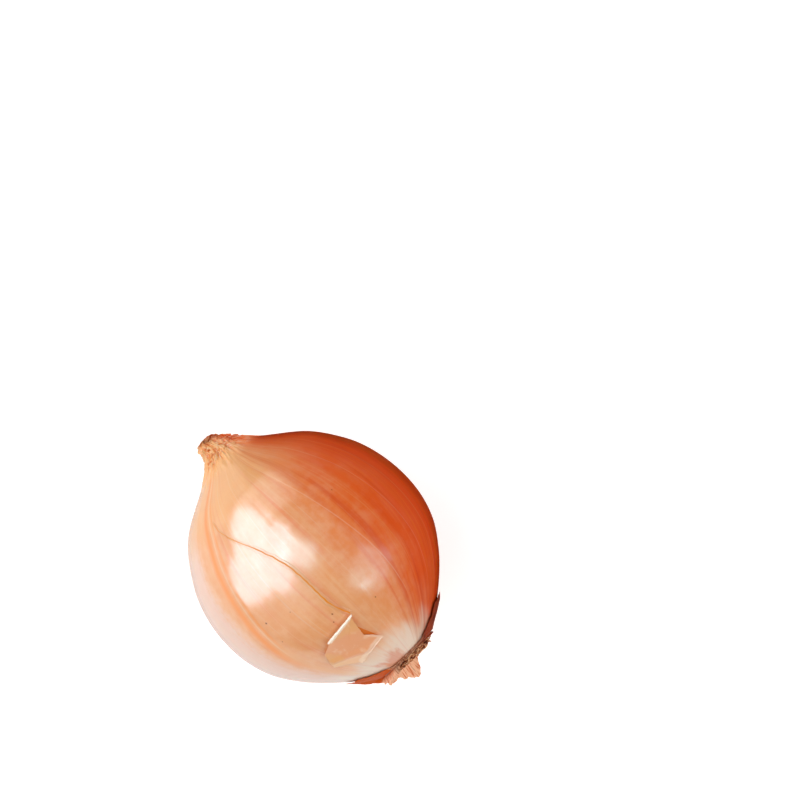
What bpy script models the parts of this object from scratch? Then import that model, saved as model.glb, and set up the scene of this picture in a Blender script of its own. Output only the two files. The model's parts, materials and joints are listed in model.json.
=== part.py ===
"""A yellow onion lying on its side, at its real size.

The bulb with its dried neck is one body. Three more pieces belong to it: the corky root plate
with its mat of dry roots, the torn base of the outermost dry scale round that plate, and a torn
flap of the same papery scale that has lifted off the belly. +X runs from the roots to the neck,
and angles round that axis start at the top and turn towards +Y.
"""

import functools
import math
import random

import bmesh
import bpy
from mathutils import Matrix, Vector

# Driving dimensions, in metres
BULB_RADIUS = 0.0400
FLAT_DEPTH = 0.0006
FIT_GAP = 0.00035
PAPER = 0.0006
MM = 0.001
SAME_PLACE = 0.000001

# The outline from the dished root end to the cut neck, in bulb radii: (along the axis, radius)
ROOT_END = [(-1.035, 0.0), (-1.035, 0.185), (-1.050, 0.215), (-1.080, 0.240)]
ROOT_SHOULDER = [(-1.066, 0.272), (-1.025, 0.333), (-0.970, 0.418), (-0.900, 0.508)]
BELLY = [
    (-0.775, 0.650),
    (-0.630, 0.783),
    (-0.438, 0.910),
    (-0.225, 0.980),
    (0.0, 1.0),
    (0.225, 0.975),
    (0.438, 0.908),
    (0.630, 0.798),
    (0.775, 0.685),
]
NECK_SHOULDER = [(0.873, 0.572), (0.950, 0.455), (1.020, 0.345), (1.075, 0.275)]
NECK = [(1.125, 0.214), (1.175, 0.166), (1.225, 0.132), (1.275, 0.116)]
NECK_CUT = [(1.303, 0.094), (1.312, 0.050), (1.315, 0.0)]
OUTLINE_STEPS = 2
BULB_SIDES = 60

# The neck leans a little to one side and its tip turns back, as fractions of the bulb radius
NECK_LEAN_SIDE = -0.052
NECK_LEAN_UP = 0.030
NECK_TIP_BACK = 0.036
LEAN_FROM, LEAN_TO = 0.85, 1.14
BACK_FROM, BACK_TO = 1.19, 1.31
CUT_SLANT = 0.22
CUT_HIGHEST = math.radians(-52)

# Waves round the bulb, as (how many, share of the radius, phase) and for the neck also a twist
LOBES_AND_RIBS = ((2, 0.0045, 0.3), (3, 0.0030, 1.9), (5, 0.0015, 4.0), (16, 0.0012, 0.7), (23, 0.0009, 2.6))
CRUMPLE = ((5, 0.055, 0.8, 9.0), (8, 0.050, 2.2, -14.0), (13, 0.030, 4.1, 21.0))
CRUMPLE_FROM, CRUMPLE_TO = 1.06, 1.20

# The root plate, as (out of the dish, radius), and the mat of roots on it
PLATE = [(0.0, 0.0), (0.0, 0.0054), (-0.0005, 0.0068), (-0.0010, 0.0070)]
PLATE_CROWN = [(-0.0015, 0.0060), (-0.0017, 0.0040), (-0.0015, 0.0020), (-0.0014, 0.0)]
PLATE_SIDES = 26
ROOT_COUNT = 44
ROOT_THICKNESS = 0.0009
ROOT_POINTS = 6
ROOT_SUNK = 0.0008
ROOT_SEED = 11
ROOT_LENGTH = 0.0046, 0.0088
ROOT_DRIFT = 1.3
ROOT_BEND = 0.3, 0.8
ROOT_RISE = 0.4
CROWN_RADIUS = 0.0064
MAT_RADIUS = 0.0100
MAT_DENT_AT_TAIL = 0.0008
MAT_NEAR, MAT_FAR = 0.0001, 0.0015
DISH_RADIUS = 0.0076
MAT_OVER_RIM = 0.0009

# The torn scale round the root end: (degrees, reach, how far it stands away, lift), lengths in mm
COLLAR_RIM = (
    (0, 1.2, 0.0, 0.15),
    (35, 1.5, 0.0, 0.2),
    (62, 3.5, 0.0, 0.5),
    (80, 9.5, 0.0, 1.2),
    (92, 11.5, 0.0, 1.8),
    (106, 6.0, 0.3, 1.4),
    (118, 3.8, 0.9, 0.6),
    (130, 5.0, 1.0, 0.0),
    (143, 5.4, 1.0, 0.0),
    (156, 8.6, 1.0, 0.0),
    (168, 11.2, 1.0, 0.0),
    (176, 9.6, 1.0, 0.0),
    (186, 4.4, 1.0, 0.0),
    (198, 4.0, 0.6, 0.5),
    (214, 6.5, 0.2, 1.2),
    (232, 8.0, 0.0, 1.2),
    (250, 6.5, 0.0, 1.0),
    (270, 10.5, 0.0, 1.6),
    (284, 11.8, 0.0, 1.8),
    (300, 7.0, 0.0, 1.0),
    (318, 2.5, 0.0, 0.4),
    (340, 1.3, 0.0, 0.15),
)
COLLAR_SIDES = 84
COLLAR_RINGS = 5
COLLAR_START = 0.0018
COLLAR_CURL = 1.5
COLLAR_TEETH = ((7, 0.10, 1.1), (17, 0.07, 2.9), (31, 0.06, 0.4))
TAIL_FLARE = math.radians(17)
TAIL_RIPPLES = 9
TAIL_RIPPLE = 0.0009

# The lifted flap's corners: (along in bulb radii, degrees, lift in mm, cells to the next corner)
FLAP_CORNERS = (
    (-0.492, 5.6, 1.3, 5),
    (-0.530, 24.4, 1.3, 3),
    (-0.585, 34.0, 0.9, 3),
    (-0.722, 42.8, 0.3, 4),
    (-0.838, 30.4, 0.5, 5),
    (-0.823, 3.3, 1.0, 2),
    (-0.705, 9.8, 0.4, 4),
)
FLAP_MIDDLE = (-0.675, 21.0)
FLAP_RINGS = 5
FLAP_CURL = 2.2

SKIN_COLOUR = (0.66, 0.26, 0.075, 1.0)
PAPER_COLOUR = (0.70, 0.36, 0.17, 1.0)
ROOT_COLOUR = (0.29, 0.18, 0.10, 1.0)


def clear_scene():
    """Takes away whatever the scene holds."""
    for thing in list(bpy.data.objects):
        bpy.data.objects.remove(thing)


def make_material(name, colour, roughness):
    """A Principled material of one colour."""
    material = bpy.data.materials.new(name)
    material.use_nodes = True
    shader = material.node_tree.nodes["Principled BSDF"]
    shader.inputs["Base Color"].default_value = colour
    shader.inputs["Roughness"].default_value = roughness
    shader.inputs["Metallic"].default_value = 0.0
    material.diffuse_color = colour
    return material


def ease(value, low, high):
    """0 below low, 1 above high and a smooth rise between them."""
    share = min(1.0, max(0.0, (value - low) / (high - low)))
    return share * share * (3 - 2 * share)


def between(start, end, share):
    """Each number of start moved that share of the way to the one in end."""
    return [a + (b - a) * share for a, b in zip(start, end)]


def smooth_through(points, steps):
    """A Catmull-Rom curve through the points, with that many steps in each span."""
    padded = [points[0], *points, points[-1]]
    curve = []
    for before, start, end, after in zip(padded, padded[1:], padded[2:], padded[3:]):
        for step in range(steps):
            t = step / steps
            weights = (2 * t**2 - t**3 - t, 2 - 5 * t**2 + 3 * t**3, t + 4 * t**2 - 3 * t**3, t**3 - t**2)
            spans = zip(before, start, end, after)
            curve.append([sum(w * value for w, value in zip(weights, span)) / 2 for span in spans])
    curve.append(points[-1])
    return [(along, max(0.0, radius)) for along, radius in curve]


@functools.cache
def bulb_outline():
    """The bulb's outline in metres, from the middle of the root end to the middle of the cut neck."""
    points = ROOT_END + ROOT_SHOULDER + BELLY + NECK_SHOULDER + NECK + NECK_CUT
    curve = smooth_through(points, OUTLINE_STEPS)
    return [(along * BULB_RADIUS, radius * BULB_RADIUS) for along, radius in curve]


@functools.cache
def side_spans():
    """The spans of the outline along the bulb's side, from the rim of the root end to the neck."""
    curve = bulb_outline()
    rim = curve.index(min(curve))
    return list(zip(curve[rim:], curve[rim + 1 :]))


def outline_point(distance):
    """(along, radius) and the outward normal at that distance along the side from the root rim."""
    for (x0, r0), (x1, r1) in side_spans():
        span = math.hypot(x1 - x0, r1 - r0)
        if distance <= span:
            place = Vector((x0, r0)).lerp(Vector((x1, r1)), distance / span)
            return place, Vector((r0 - r1, x1 - x0)).normalized()
        distance -= span
    raise ValueError("the distance runs past the neck")


def radius_at(along):
    """The plain outline's radius at that place along the axis."""
    for (x0, r0), (x1, r1) in side_spans():
        if x0 <= along <= x1:
            return r0 + (r1 - r0) * (along - x0) / (x1 - x0)
    raise ValueError("the place is off the bulb")


def relief(along, angle):
    """How much further out the real skin is than the plain outline, as a share of the radius."""
    place = along / BULB_RADIUS
    swell = sum(size * math.cos(count * angle + phase) for count, size, phase in LOBES_AND_RIBS)
    folds = sum(size * math.cos(count * angle + phase + twist * (place - 1)) for count, size, phase, twist in CRUMPLE)
    return swell + folds * ease(place, CRUMPLE_FROM, CRUMPLE_TO)


def neck_shift(along):
    """How far the neck's middle is off the axis."""
    place = along / BULB_RADIUS
    lean = ease(place, LEAN_FROM, LEAN_TO)
    back = ease(place, BACK_FROM, BACK_TO)
    side = NECK_LEAN_SIDE * lean + NECK_TIP_BACK * back
    return Vector((0.0, side, NECK_LEAN_UP * lean)) * BULB_RADIUS


def around(along, radius, angle):
    """The point at that angle from the top, turned towards +Y."""
    return Vector((along, radius * math.sin(angle), radius * math.cos(angle)))


def above_skin(along, angle, lift):
    """The point that lies lift above the bulb's real skin."""
    step = 0.5 * MM
    radius = radius_at(along)
    slope = (radius_at(along + step) - radius_at(along - step)) / (2 * step)
    outward = Vector((-slope, 1.0)).normalized()
    radius *= 1 + relief(along, angle)
    return around(along + outward.x * lift, radius + outward.y * lift, angle)


def new_object(name, shape, material, collection):
    """A smooth shaded object of the onion, made from the bmesh."""
    bmesh.ops.recalc_face_normals(shape, faces=shape.faces)
    mesh = bpy.data.meshes.new(name)
    shape.to_mesh(mesh)
    shape.free()
    mesh.materials.append(material)
    mesh.shade_smooth()
    thing = bpy.data.objects.new(name, mesh)
    collection.objects.link(thing)
    return thing


def evaluated_mesh(thing):
    """A plain mesh of the object as its modifiers leave it."""
    bpy.context.view_layer.update()
    graph = bpy.context.evaluated_depsgraph_get()
    return bpy.data.meshes.new_from_object(thing.evaluated_get(graph))


def evaluated_shape(thing):
    """The object as its modifiers leave it, as a bmesh. The object itself is removed."""
    shape = bmesh.new()
    shape.from_mesh(evaluated_mesh(thing))
    bpy.data.objects.remove(thing)
    return shape


def turned(name, curve, sides, material, collection):
    """The shape that an outline of (along, radius) points sweeps round the X axis."""
    line = bmesh.new()
    spine = [line.verts.new((along, 0.0, radius)) for along, radius in curve]
    for start, end in zip(spine, spine[1:]):
        line.edges.new((start, end))
    outline = new_object(name, line, material, collection)
    screw = outline.modifiers.new("turn", "SCREW")
    screw.axis = "X"
    screw.steps = screw.render_steps = sides
    screw.use_merge_vertices = True
    screw.merge_threshold = SAME_PLACE
    return evaluated_shape(outline)


def build_bulb(material, collection):
    """The bulb with its neck: a turned body with lobes, faint ribs, a crumpled neck and a flat spot."""
    shape = turned("bulb outline", bulb_outline(), BULB_SIDES, material, collection)
    for vertex in shape.verts:
        along, angle = vertex.co.x, math.atan2(vertex.co.y, vertex.co.z)
        radius = math.hypot(vertex.co.y, vertex.co.z) * (1 + relief(along, angle))
        at_cut = ease(along / BULB_RADIUS, BACK_FROM, BACK_TO)
        slant = CUT_SLANT * radius * at_cut * math.cos(angle - CUT_HIGHEST)
        vertex.co = around(along + slant, radius, angle) + neck_shift(along)
    everything = shape.verts[:] + shape.edges[:] + shape.faces[:]
    low = (0.0, 0.0, FLAT_DEPTH - BULB_RADIUS)
    cut = bmesh.ops.bisect_plane(shape, geom=everything, plane_co=low, plane_no=(0, 0, -1), clear_outer=True)
    rim = [item for item in cut["geom_cut"] if isinstance(item, bmesh.types.BMEdge)]
    bmesh.ops.contextual_create(shape, geom=rim)
    return new_object("bulb", shape, material, collection)


def collar_at(angle):
    """(reach, how far it stands away, lift) of the torn scale at that angle."""
    degrees = math.degrees(angle) % 360
    for start, end in zip(COLLAR_RIM, COLLAR_RIM[1:] + ((360, *COLLAR_RIM[0][1:]),)):
        if start[0] <= degrees <= end[0]:
            reach, away, lift = between(start[1:], end[1:], ease(degrees, start[0], end[0]))
            break
    teeth = sum(size * abs(math.sin(count * angle / 2 + phase)) for count, size, phase in COLLAR_TEETH)
    return reach * MM * (1 - teeth), away, lift * MM


def collar_point(angle, share):
    """The point of the torn scale at that angle, from its base at share 0 to its torn edge at 1."""
    reach, away, lift = collar_at(angle)
    base, base_normal = outline_point(COLLAR_START)
    hug, normal = outline_point(COLLAR_START + reach * share)
    hug += normal * (FIT_GAP + lift * share**COLLAR_CURL)
    flare = Vector((-math.cos(TAIL_FLARE), math.sin(TAIL_FLARE)))
    ripple = TAIL_RIPPLE * share * (1 + math.sin(TAIL_RIPPLES * angle))
    tail = base + base_normal * FIT_GAP + flare * reach * share + Vector((0.0, ripple))
    along, radius = hug.lerp(tail, away)
    return around(along, radius * (1 + relief(along, angle)), angle)


def build_skin_collar(material, collection):
    """The torn base of the outermost dry scale, as one papery ring with lobes and a folded out tail."""
    shape = bmesh.new()
    bmesh.ops.create_grid(shape, x_segments=COLLAR_SIDES, y_segments=COLLAR_RINGS, size=1.0)
    for vertex in shape.verts:
        vertex.co = collar_point(math.pi * (vertex.co.x + 1), (vertex.co.y + 1) / 2)
    return make_sheet("skin_collar", shape, material, collection)


def make_sheet(name, shape, material, collection):
    """A papery sheet from the grid, with its seam closed and its thickness on the side away from the bulb."""
    bmesh.ops.remove_doubles(shape, verts=shape.verts, dist=SAME_PLACE)
    sheet = new_object(name, shape, material, collection)
    faces = sheet.data.polygons
    outward = sum(face.normal.dot(Vector((0.0, face.center.y, face.center.z))) for face in faces)
    paper = sheet.modifiers.new("paper", "SOLIDIFY")
    paper.thickness = PAPER
    paper.offset = 1.0 if outward > 0 else -1.0
    return sheet


def flap_outline():
    """The flap's torn outline as (along, angle, lift) points, in metres and radians."""
    outline = []
    for corner, after in zip(FLAP_CORNERS, FLAP_CORNERS[1:] + FLAP_CORNERS[:1]):
        for cell in range(corner[3]):
            along, degrees, lift = between(corner[:3], after[:3], cell / corner[3])
            outline.append((along * BULB_RADIUS, math.radians(degrees), lift * MM))
    return outline


def build_skin_flap(material, collection):
    """The torn flap on the belly: it lies on the bulb in its middle and curls up at its edges."""
    outline = flap_outline()
    middle = FLAP_MIDDLE[0] * BULB_RADIUS, math.radians(FLAP_MIDDLE[1]), 0.0
    shape = bmesh.new()
    bmesh.ops.create_grid(shape, x_segments=len(outline), y_segments=FLAP_RINGS, size=1.0)
    for vertex in shape.verts:
        spoke = round(len(outline) * (vertex.co.x + 1) / 2) % len(outline)
        share = (vertex.co.y + 1) / 2
        along, angle, _ = between(middle, outline[spoke], share)
        vertex.co = above_skin(along, angle, FIT_GAP + outline[spoke][2] * share**FLAP_CURL)
    return make_sheet("skin_flap", shape, material, collection)


def root_path(rng, face):
    """The points of one dry root: it leaves the plate, turns over and lies curled in the mat."""
    angle = rng.uniform(-math.pi, math.pi)
    drift = angle + rng.uniform(-ROOT_DRIFT, ROOT_DRIFT)
    bend = rng.choice((-1, 1)) * rng.uniform(*ROOT_BEND)
    step = rng.uniform(*ROOT_LENGTH) / (ROOT_POINTS - 2)
    radius = CROWN_RADIUS * math.sqrt(rng.random())
    path = [around(face + ROOT_SUNK, radius, angle), around(face - rng.uniform(MAT_NEAR, MAT_FAR), radius, angle)]
    while len(path) < ROOT_POINTS:
        place = path[-1] + around(rng.uniform(-ROOT_RISE, ROOT_RISE) * step, step, drift)
        drift += bend
        angle = math.atan2(place.y, place.z)
        limit = MAT_RADIUS - MAT_DENT_AT_TAIL * collar_at(angle)[1]
        radius = min(math.hypot(place.y, place.z), limit)
        near = MAT_NEAR if radius < DISH_RADIUS else MAT_OVER_RIM
        along = min(max(place.x, face - MAT_FAR), face - near)
        path.append(around(along, radius, angle))
    return path


def root_shape(path, thickness, material, collection):
    """A thin closed tube along the path, narrower towards its end."""
    curve = bpy.data.curves.new("root", "CURVE")
    curve.dimensions = "3D"
    curve.bevel_depth = thickness / 2
    curve.bevel_resolution = 0
    curve.use_fill_caps = True
    spline = curve.splines.new("POLY")
    spline.points.add(len(path) - 1)
    for index, (point, place) in enumerate(zip(spline.points, path)):
        point.co = (*place, 1.0)
        point.radius = 1 - index / (2 * len(path))
    tube = bpy.data.objects.new("root tube", curve)
    collection.objects.link(tube)
    shape = evaluated_shape(tube)
    bmesh.ops.remove_doubles(shape, verts=shape.verts, dist=SAME_PLACE)
    return new_object("root", shape, material, collection)


def enclosed(faces):
    """Six times the volume that the faces enclose, which is below 0 where they face inwards."""
    total = 0.0
    for face in faces:
        first, *others = [vertex.co for vertex in face.verts]
        total += sum(first.dot(a.cross(b)) for a, b in zip(others, others[1:]))
    return total


def remove_pockets(shape):
    """Takes the closed pockets that crossing roots leave between them out of the shape."""
    waiting = set(shape.faces)
    pockets = set()
    while waiting:
        island, border = set(), {waiting.pop()}
        while border:
            island |= border
            border = {other for face in border for edge in face.edges for other in edge.link_faces} - island
        waiting -= island
        if enclosed(island) < 0:
            pockets |= {vertex for face in island for vertex in face.verts}
    bmesh.ops.delete(shape, geom=list(pockets), context="VERTS")


def build_root_plate(material, collection):
    """The corky plate in the dish of the root end, with its curled dry roots fused on."""
    seat = ROOT_END[0][0] * BULB_RADIUS - FIT_GAP
    outline = [(seat + along, radius) for along, radius in PLATE + PLATE_CROWN]
    shape = turned("plate outline", outline, PLATE_SIDES, material, collection)
    plate = new_object("plate", shape, material, collection)
    roots = bpy.data.collections.new("roots to join")
    bpy.context.scene.collection.children.link(roots)
    rng = random.Random(ROOT_SEED)
    face = seat + PLATE_CROWN[-1][0]
    for _ in range(ROOT_COUNT):
        root_shape(root_path(rng, face), ROOT_THICKNESS * rng.uniform(0.8, 1.15), material, roots)
    union = plate.modifiers.new("join roots", "BOOLEAN")
    union.operation = "UNION"
    union.operand_type = "COLLECTION"
    union.collection = roots
    union.solver = "MANIFOLD"
    joined = evaluated_shape(plate)
    remove_pockets(joined)
    for root in list(roots.objects):
        bpy.data.objects.remove(root)
    bpy.data.collections.remove(roots)
    return new_object("root_plate", joined, material, collection)


def set_down(things):
    """Moves the onion so that its flat spot is at z 0 and the middle of its box is over the origin."""
    places = [vertex.co for thing in things for vertex in evaluated_mesh(thing).vertices]
    low, high = (Vector([pick(place[i] for place in places) for i in range(3)]) for pick in (min, max))
    shift = Vector((-(low.x + high.x) / 2, -(low.y + high.y) / 2, -low.z))
    for thing in things:
        thing.data.transform(Matrix.Translation(shift))
    print("axis through y %.6f z %.6f, widest at x %.6f" % (shift.y, shift.z, shift.x))


def main():
    clear_scene()
    onion = bpy.data.collections.new("onion")
    bpy.context.scene.collection.children.link(onion)
    skin = make_material("onion skin", SKIN_COLOUR, 0.35)
    paper = make_material("dry papery scale", PAPER_COLOUR, 0.5)
    cork = make_material("dry root", ROOT_COLOUR, 0.85)
    bulb = build_bulb(skin, onion)
    plate = build_root_plate(cork, onion)
    collar = build_skin_collar(paper, onion)
    flap = build_skin_flap(paper, onion)
    set_down([bulb, plate, collar, flap])


main()
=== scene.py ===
# %% [markdown]
# # A yellow onion lying on its side
#
# The solids of the onion are already made: a bulb with its neck, a plate of roots, a torn collar of
# dry scale round the roots and a lifted flap of skin. They are closed and plain, because they have to
# be weighed and dropped. This lesson dresses them: each solid is hidden behind a finer piece of the
# same form, and each piece gets a finish that is built from nodes alone.

import bisect
import functools
import json
import math
import random

import bmesh
import bpy
from mathutils import Matrix, Vector, noise


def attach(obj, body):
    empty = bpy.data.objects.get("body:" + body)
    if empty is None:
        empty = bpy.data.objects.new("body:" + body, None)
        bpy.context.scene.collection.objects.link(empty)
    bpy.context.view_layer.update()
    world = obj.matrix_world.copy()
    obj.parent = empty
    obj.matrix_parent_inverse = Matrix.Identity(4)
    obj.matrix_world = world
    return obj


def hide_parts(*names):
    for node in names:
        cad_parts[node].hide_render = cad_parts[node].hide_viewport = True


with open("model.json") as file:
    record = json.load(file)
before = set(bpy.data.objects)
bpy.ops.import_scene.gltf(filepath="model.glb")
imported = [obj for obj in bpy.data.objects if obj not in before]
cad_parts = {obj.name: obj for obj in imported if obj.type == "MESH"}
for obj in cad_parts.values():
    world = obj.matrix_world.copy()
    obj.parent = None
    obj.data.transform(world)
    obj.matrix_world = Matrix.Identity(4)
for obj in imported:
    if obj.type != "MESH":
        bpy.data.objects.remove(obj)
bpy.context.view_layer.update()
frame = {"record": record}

# %% [markdown]
# ## The driving sizes
#
# Everything on a turned body can be said as a place along its axis and an angle round it. So the only
# sizes that are needed first are the bulb's radius and where its axis lies. The onion rests on a flat
# spot, so the axis is one radius above the floor less the depth of that spot.

# %% The bulb's radius and axis
MM = 0.001
BULB_RADIUS = 0.0400
FLAT_DEPTH = 0.0006
SAME_PLACE = 0.000001
rest_spot = frame["record"]["mounts"][0]["pos_m"]
AXIS = Vector((rest_spot[0], rest_spot[1], BULB_RADIUS - FLAT_DEPTH))
print("the axis runs along X through", AXIS)

# %% [markdown]
# ## The camera
#
# The picture looks straight down on the onion, whose neck points to the upper left. A long lens far
# away keeps the round shape from swelling. The distance follows from the lens: it is where one pixel
# of an 800 pixel picture covers the right share of a millimetre at the height of the axis.

# %% Camera
PICTURE = 800
ONION_X, ONION_Y = 315.5, 558.3
METRES_PER_PIXEL = 0.0003232
LENS, SENSOR = 300.0, 36.0
NECK_TURN = math.radians(-134)


def make_camera():
    """A camera that looks straight down, turned so that the neck points to the upper left."""
    lens = bpy.data.cameras.new("camera")
    lens.lens, lens.sensor_width = LENS, SENSOR
    lens.clip_start, lens.clip_end = 0.01, 10.0
    camera = bpy.data.objects.new("camera", lens)
    bpy.context.scene.collection.objects.link(camera)
    height = METRES_PER_PIXEL * PICTURE * LENS / SENSOR
    right = Vector((math.cos(NECK_TURN), math.sin(NECK_TURN), 0.0))
    up = Vector((-right.y, right.x, 0.0))
    sideways = (PICTURE / 2 - ONION_X) * METRES_PER_PIXEL
    upwards = (ONION_Y - PICTURE / 2) * METRES_PER_PIXEL
    camera.location = AXIS + right * sideways + up * upwards + Vector((0.0, 0.0, height))
    camera.rotation_euler = (0.0, 0.0, NECK_TURN)
    bpy.context.scene.camera = camera
    return camera, right, up


camera, PICTURE_RIGHT, PICTURE_UP = make_camera()
print("the camera is at", camera.location)

# %% [markdown]
# ## The light
#
# The highlights on a shiny onion are mirror images of the lamps, so the lamps are big soft panels. A
# panel either lights the onion or is mirrored in its skin, so that light and highlights can be set
# apart. The window on the left is the main light. Its mirror image has a form of its own: an
# outer and an inner pane, a step beside them and a broad weak glow. Two panels do the same for the
# neck, one overhead fills the shadows, and two on the right make the faint second highlight with a
# small core. A highlight is added to the orange under it, so a lamp is bluish where the sum has to
# look white.

# %% Lamps and world
WHITE, PALE_SKY = (1.0, 1.0, 1.0), (0.90, 0.96, 1.0)
COOL, ICY = (0.63, 0.81, 1.0), (0.42, 0.86, 1.0)
LIGHTS, MIRRORED = "lights the onion", "is mirrored in its skin"
PANELS = (
    ("window", LIGHTS, PALE_SKY, 5.7, (-1.0, -0.30, 0.95), 0.80, (1.05, 1.30)),
    ("outer pane", MIRRORED, COOL, 8.9, (-1.0, 0.0, 0.49), 0.80, (1.05, 0.45)),
    ("inner pane", MIRRORED, COOL, 5.8, (-0.75, 0.0, 1.0), 0.80, (0.80, 0.38)),
    ("window step", MIRRORED, ICY, 1.60, (-0.27, 0.085, 0.96), 0.80, (0.28, 0.37)),
    ("window glow", MIRRORED, WHITE, 3.9, (-1.0, -0.35, 0.90), 0.80, (1.90, 1.25)),
    ("neck light", LIGHTS, WHITE, 2.0, (-0.80, 0.55, 0.35), 0.90, (0.80, 0.60)),
    ("neck sheen", MIRRORED, WHITE, 1.0, (-0.64, 0.68, 0.33), 0.80, (0.60, 0.46)),
    ("overhead", LIGHTS, WHITE, 8.25, (0.80, 0.0, 1.0), 1.10, (1.30, 1.30)),
    ("right fill", MIRRORED, ICY, 1.55, (0.79, -0.12, 0.60), 0.80, (0.54, 0.56)),
    ("right core", MIRRORED, ICY, 0.13, (0.735, -0.321, 0.598), 0.80, (0.06, 0.13)),
)
WORLD_STRENGTH = 0.28


def panel_lamp(name, use, colour, watts, towards, away, size):
    """A lamp seen from the onion in that direction: picture right, picture up and to the camera.

    Its first size lies level with the floor, and the second one leans up from it.
    """
    lamp = bpy.data.lights.new(name, "AREA")
    lamp.shape = "RECTANGLE"
    lamp.size, lamp.size_y = size
    lamp.energy = watts
    lamp.color = colour
    thing = bpy.data.objects.new(name, lamp)
    thing.visible_camera = False
    thing.visible_diffuse, thing.visible_glossy = use == LIGHTS, use == MIRRORED
    bpy.context.scene.collection.objects.link(thing)
    right, up, out = towards
    direction = (PICTURE_RIGHT * right + PICTURE_UP * up + Vector((0.0, 0.0, out))).normalized()
    thing.location = AXIS + direction * away
    thing.rotation_euler = direction.to_track_quat("Z", "Y").to_euler()


for panel in PANELS:
    panel_lamp(*panel)

world = bpy.data.worlds.new("pale room")
world.use_nodes = True
background = world.node_tree.nodes["Background"]
background.inputs["Color"].default_value = (*WHITE, 1.0)
background.inputs["Strength"].default_value = WORLD_STRENGTH
world.cycles_visibility.glossy = False
bpy.context.scene.world = world
bpy.context.scene.view_settings.view_transform = "Standard"
print(len(PANELS), "lamps")

# %% [markdown]
# ## Shader maths as Python
#
# A material is a graph of nodes, and sums in it take one Math node for each sign. This small class
# holds the output of a node, and Python's own signs on it add those Math nodes. So a mask can be
# written as `1 - mask`. All other nodes come from `Wire.node`: its kind, its settings and its inputs.


# %% The Wire class
class Wire:
    """The output of a shader node, which Python can do sums with."""

    def __init__(self, socket):
        self.socket = socket
        self.tree = socket.id_data

    @classmethod
    def node(cls, tree, kind, settings=None, inputs=None, output=0):
        """Adds a node, makes its settings, then fills its inputs with values or links."""
        made = tree.nodes.new(kind)
        for name, value in (settings or {}).items():
            setattr(made, name, value)
        for name, value in (inputs or {}).items():
            if isinstance(value, Wire):
                tree.links.new(value.socket, made.inputs[name])
            else:
                made.inputs[name].default_value = value
        return cls(made.outputs[output])

    def sum(self, operation, *others):
        """A Math node of this wire and the others."""
        inputs = dict(enumerate((self, *others)))
        return Wire.node(self.tree, "ShaderNodeMath", {"operation": operation}, inputs)

    def __add__(self, other):
        return self.sum("ADD", other)

    def __sub__(self, other):
        return self.sum("SUBTRACT", other)

    def __rsub__(self, other):
        return self.sum("MULTIPLY_ADD", -1.0, other)

    def __mul__(self, other):
        return self.sum("MULTIPLY", other)

    __radd__ = __add__
    __rmul__ = __mul__


# %% [markdown]
# A few short helpers cover most of what a natural surface needs: a soft step, a mix of two colours,
# layers of colour, noise, and vectors that are taken apart and put together.


# %% Helpers for masks and colours
def rise(value, low, high):
    """0 below low, 1 above high and a soft step between. It falls if low is the larger."""
    settings = {"interpolation_type": "SMOOTHSTEP"}
    inputs = {"Value": value, "From Min": low, "From Max": high}
    return Wire.node(value.tree, "ShaderNodeMapRange", settings, inputs)


def mixed(share, start, end):
    """The colour that share of the way from start to end."""
    settings = {"data_type": "RGBA"}
    return Wire.node(share.tree, "ShaderNodeMix", settings, {0: share, 6: start, 7: end}, output=2)


def layered(colour, layers):
    """The colour with (mask, colour) layers laid over it, one after the other."""
    for mask, over in layers:
        colour = mixed(mask, colour, over)
    return colour


def noisy(place, scale, detail=2.0, roughness=0.5):
    """Smooth noise round 0.5 at that place."""
    inputs = {"Vector": place, "Scale": scale, "Detail": detail, "Roughness": roughness}
    return Wire.node(place.tree, "ShaderNodeTexNoise", None, inputs)


def numbers_of(vector):
    """The three numbers of a vector."""
    apart = Wire.node(vector.tree, "ShaderNodeSeparateXYZ", None, {0: vector})
    return [Wire(socket) for socket in apart.socket.node.outputs]


def vector_of(x, y, z):
    """A vector of three numbers, of which the first is a wire."""
    return Wire.node(x.tree, "ShaderNodeCombineXYZ", None, {0: x, 1: y, 2: z})


def screen_colour(red, green, blue):
    """The linear colour that a screen shows as these values from 0 to 255."""
    return (*[(value / 255) ** 2.2 for value in (red, green, blue)], 1.0)


# %% [markdown]
# A finish starts as a Principled BSDF. The numbers that are the same all over the piece are set on it
# directly. What changes over the surface is linked into its colour, roughness, coat and bump.


# %% A new finish
def new_finish(name, **constants):
    """(material, its node tree, its Principled BSDF), with those values set on the shader."""
    material = bpy.data.materials.new(name)
    material.use_nodes = True
    tree = material.node_tree
    shader = tree.nodes["Principled BSDF"]
    for key, value in constants.items():
        shader.inputs[key.replace("_", " ")].default_value = value
    return material, tree, shader


def feed(shader, **wires):
    """Links wires into the shader's inputs of those names."""
    for key, wire in wires.items():
        shader.id_data.links.new(wire.socket, shader.inputs[key.replace("_", " ")])


def raised(tree, height, depth):
    """A bump of that depth in metres."""
    return Wire.node(tree, "ShaderNodeBump", {}, {"Height": height, "Distance": depth})


def own_attribute(tree, name, output="Vector"):
    """What the piece's own mesh holds under that name."""
    return Wire.node(tree, "ShaderNodeAttribute", {"attribute_name": name}, None, output)


def own_place(tree):
    """The place of each spot in the piece's own space."""
    return Wire.node(tree, "ShaderNodeTexCoord", None, None, "Object")


# %% [markdown]
# ## The floor
#
# A plain pale sheet, much larger than the picture. It throws light back at the underside of the onion,
# which is where the pale rim along its lower left comes from, together with a pale reflection painted
# into the skin's colour. A weak glow of its own keeps it pale in the onion's shade.

# %% Floor
FLOOR_SIZE = 4.0
FLOOR_GLOW = 0.36
FLOOR_GRAIN = 300.0
FLOOR_GREY, FLOOR_PALE = (0.94, 0.94, 0.94, 1.0), (0.96, 0.96, 0.96, 1.0)
MATTE = 0.9


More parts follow.
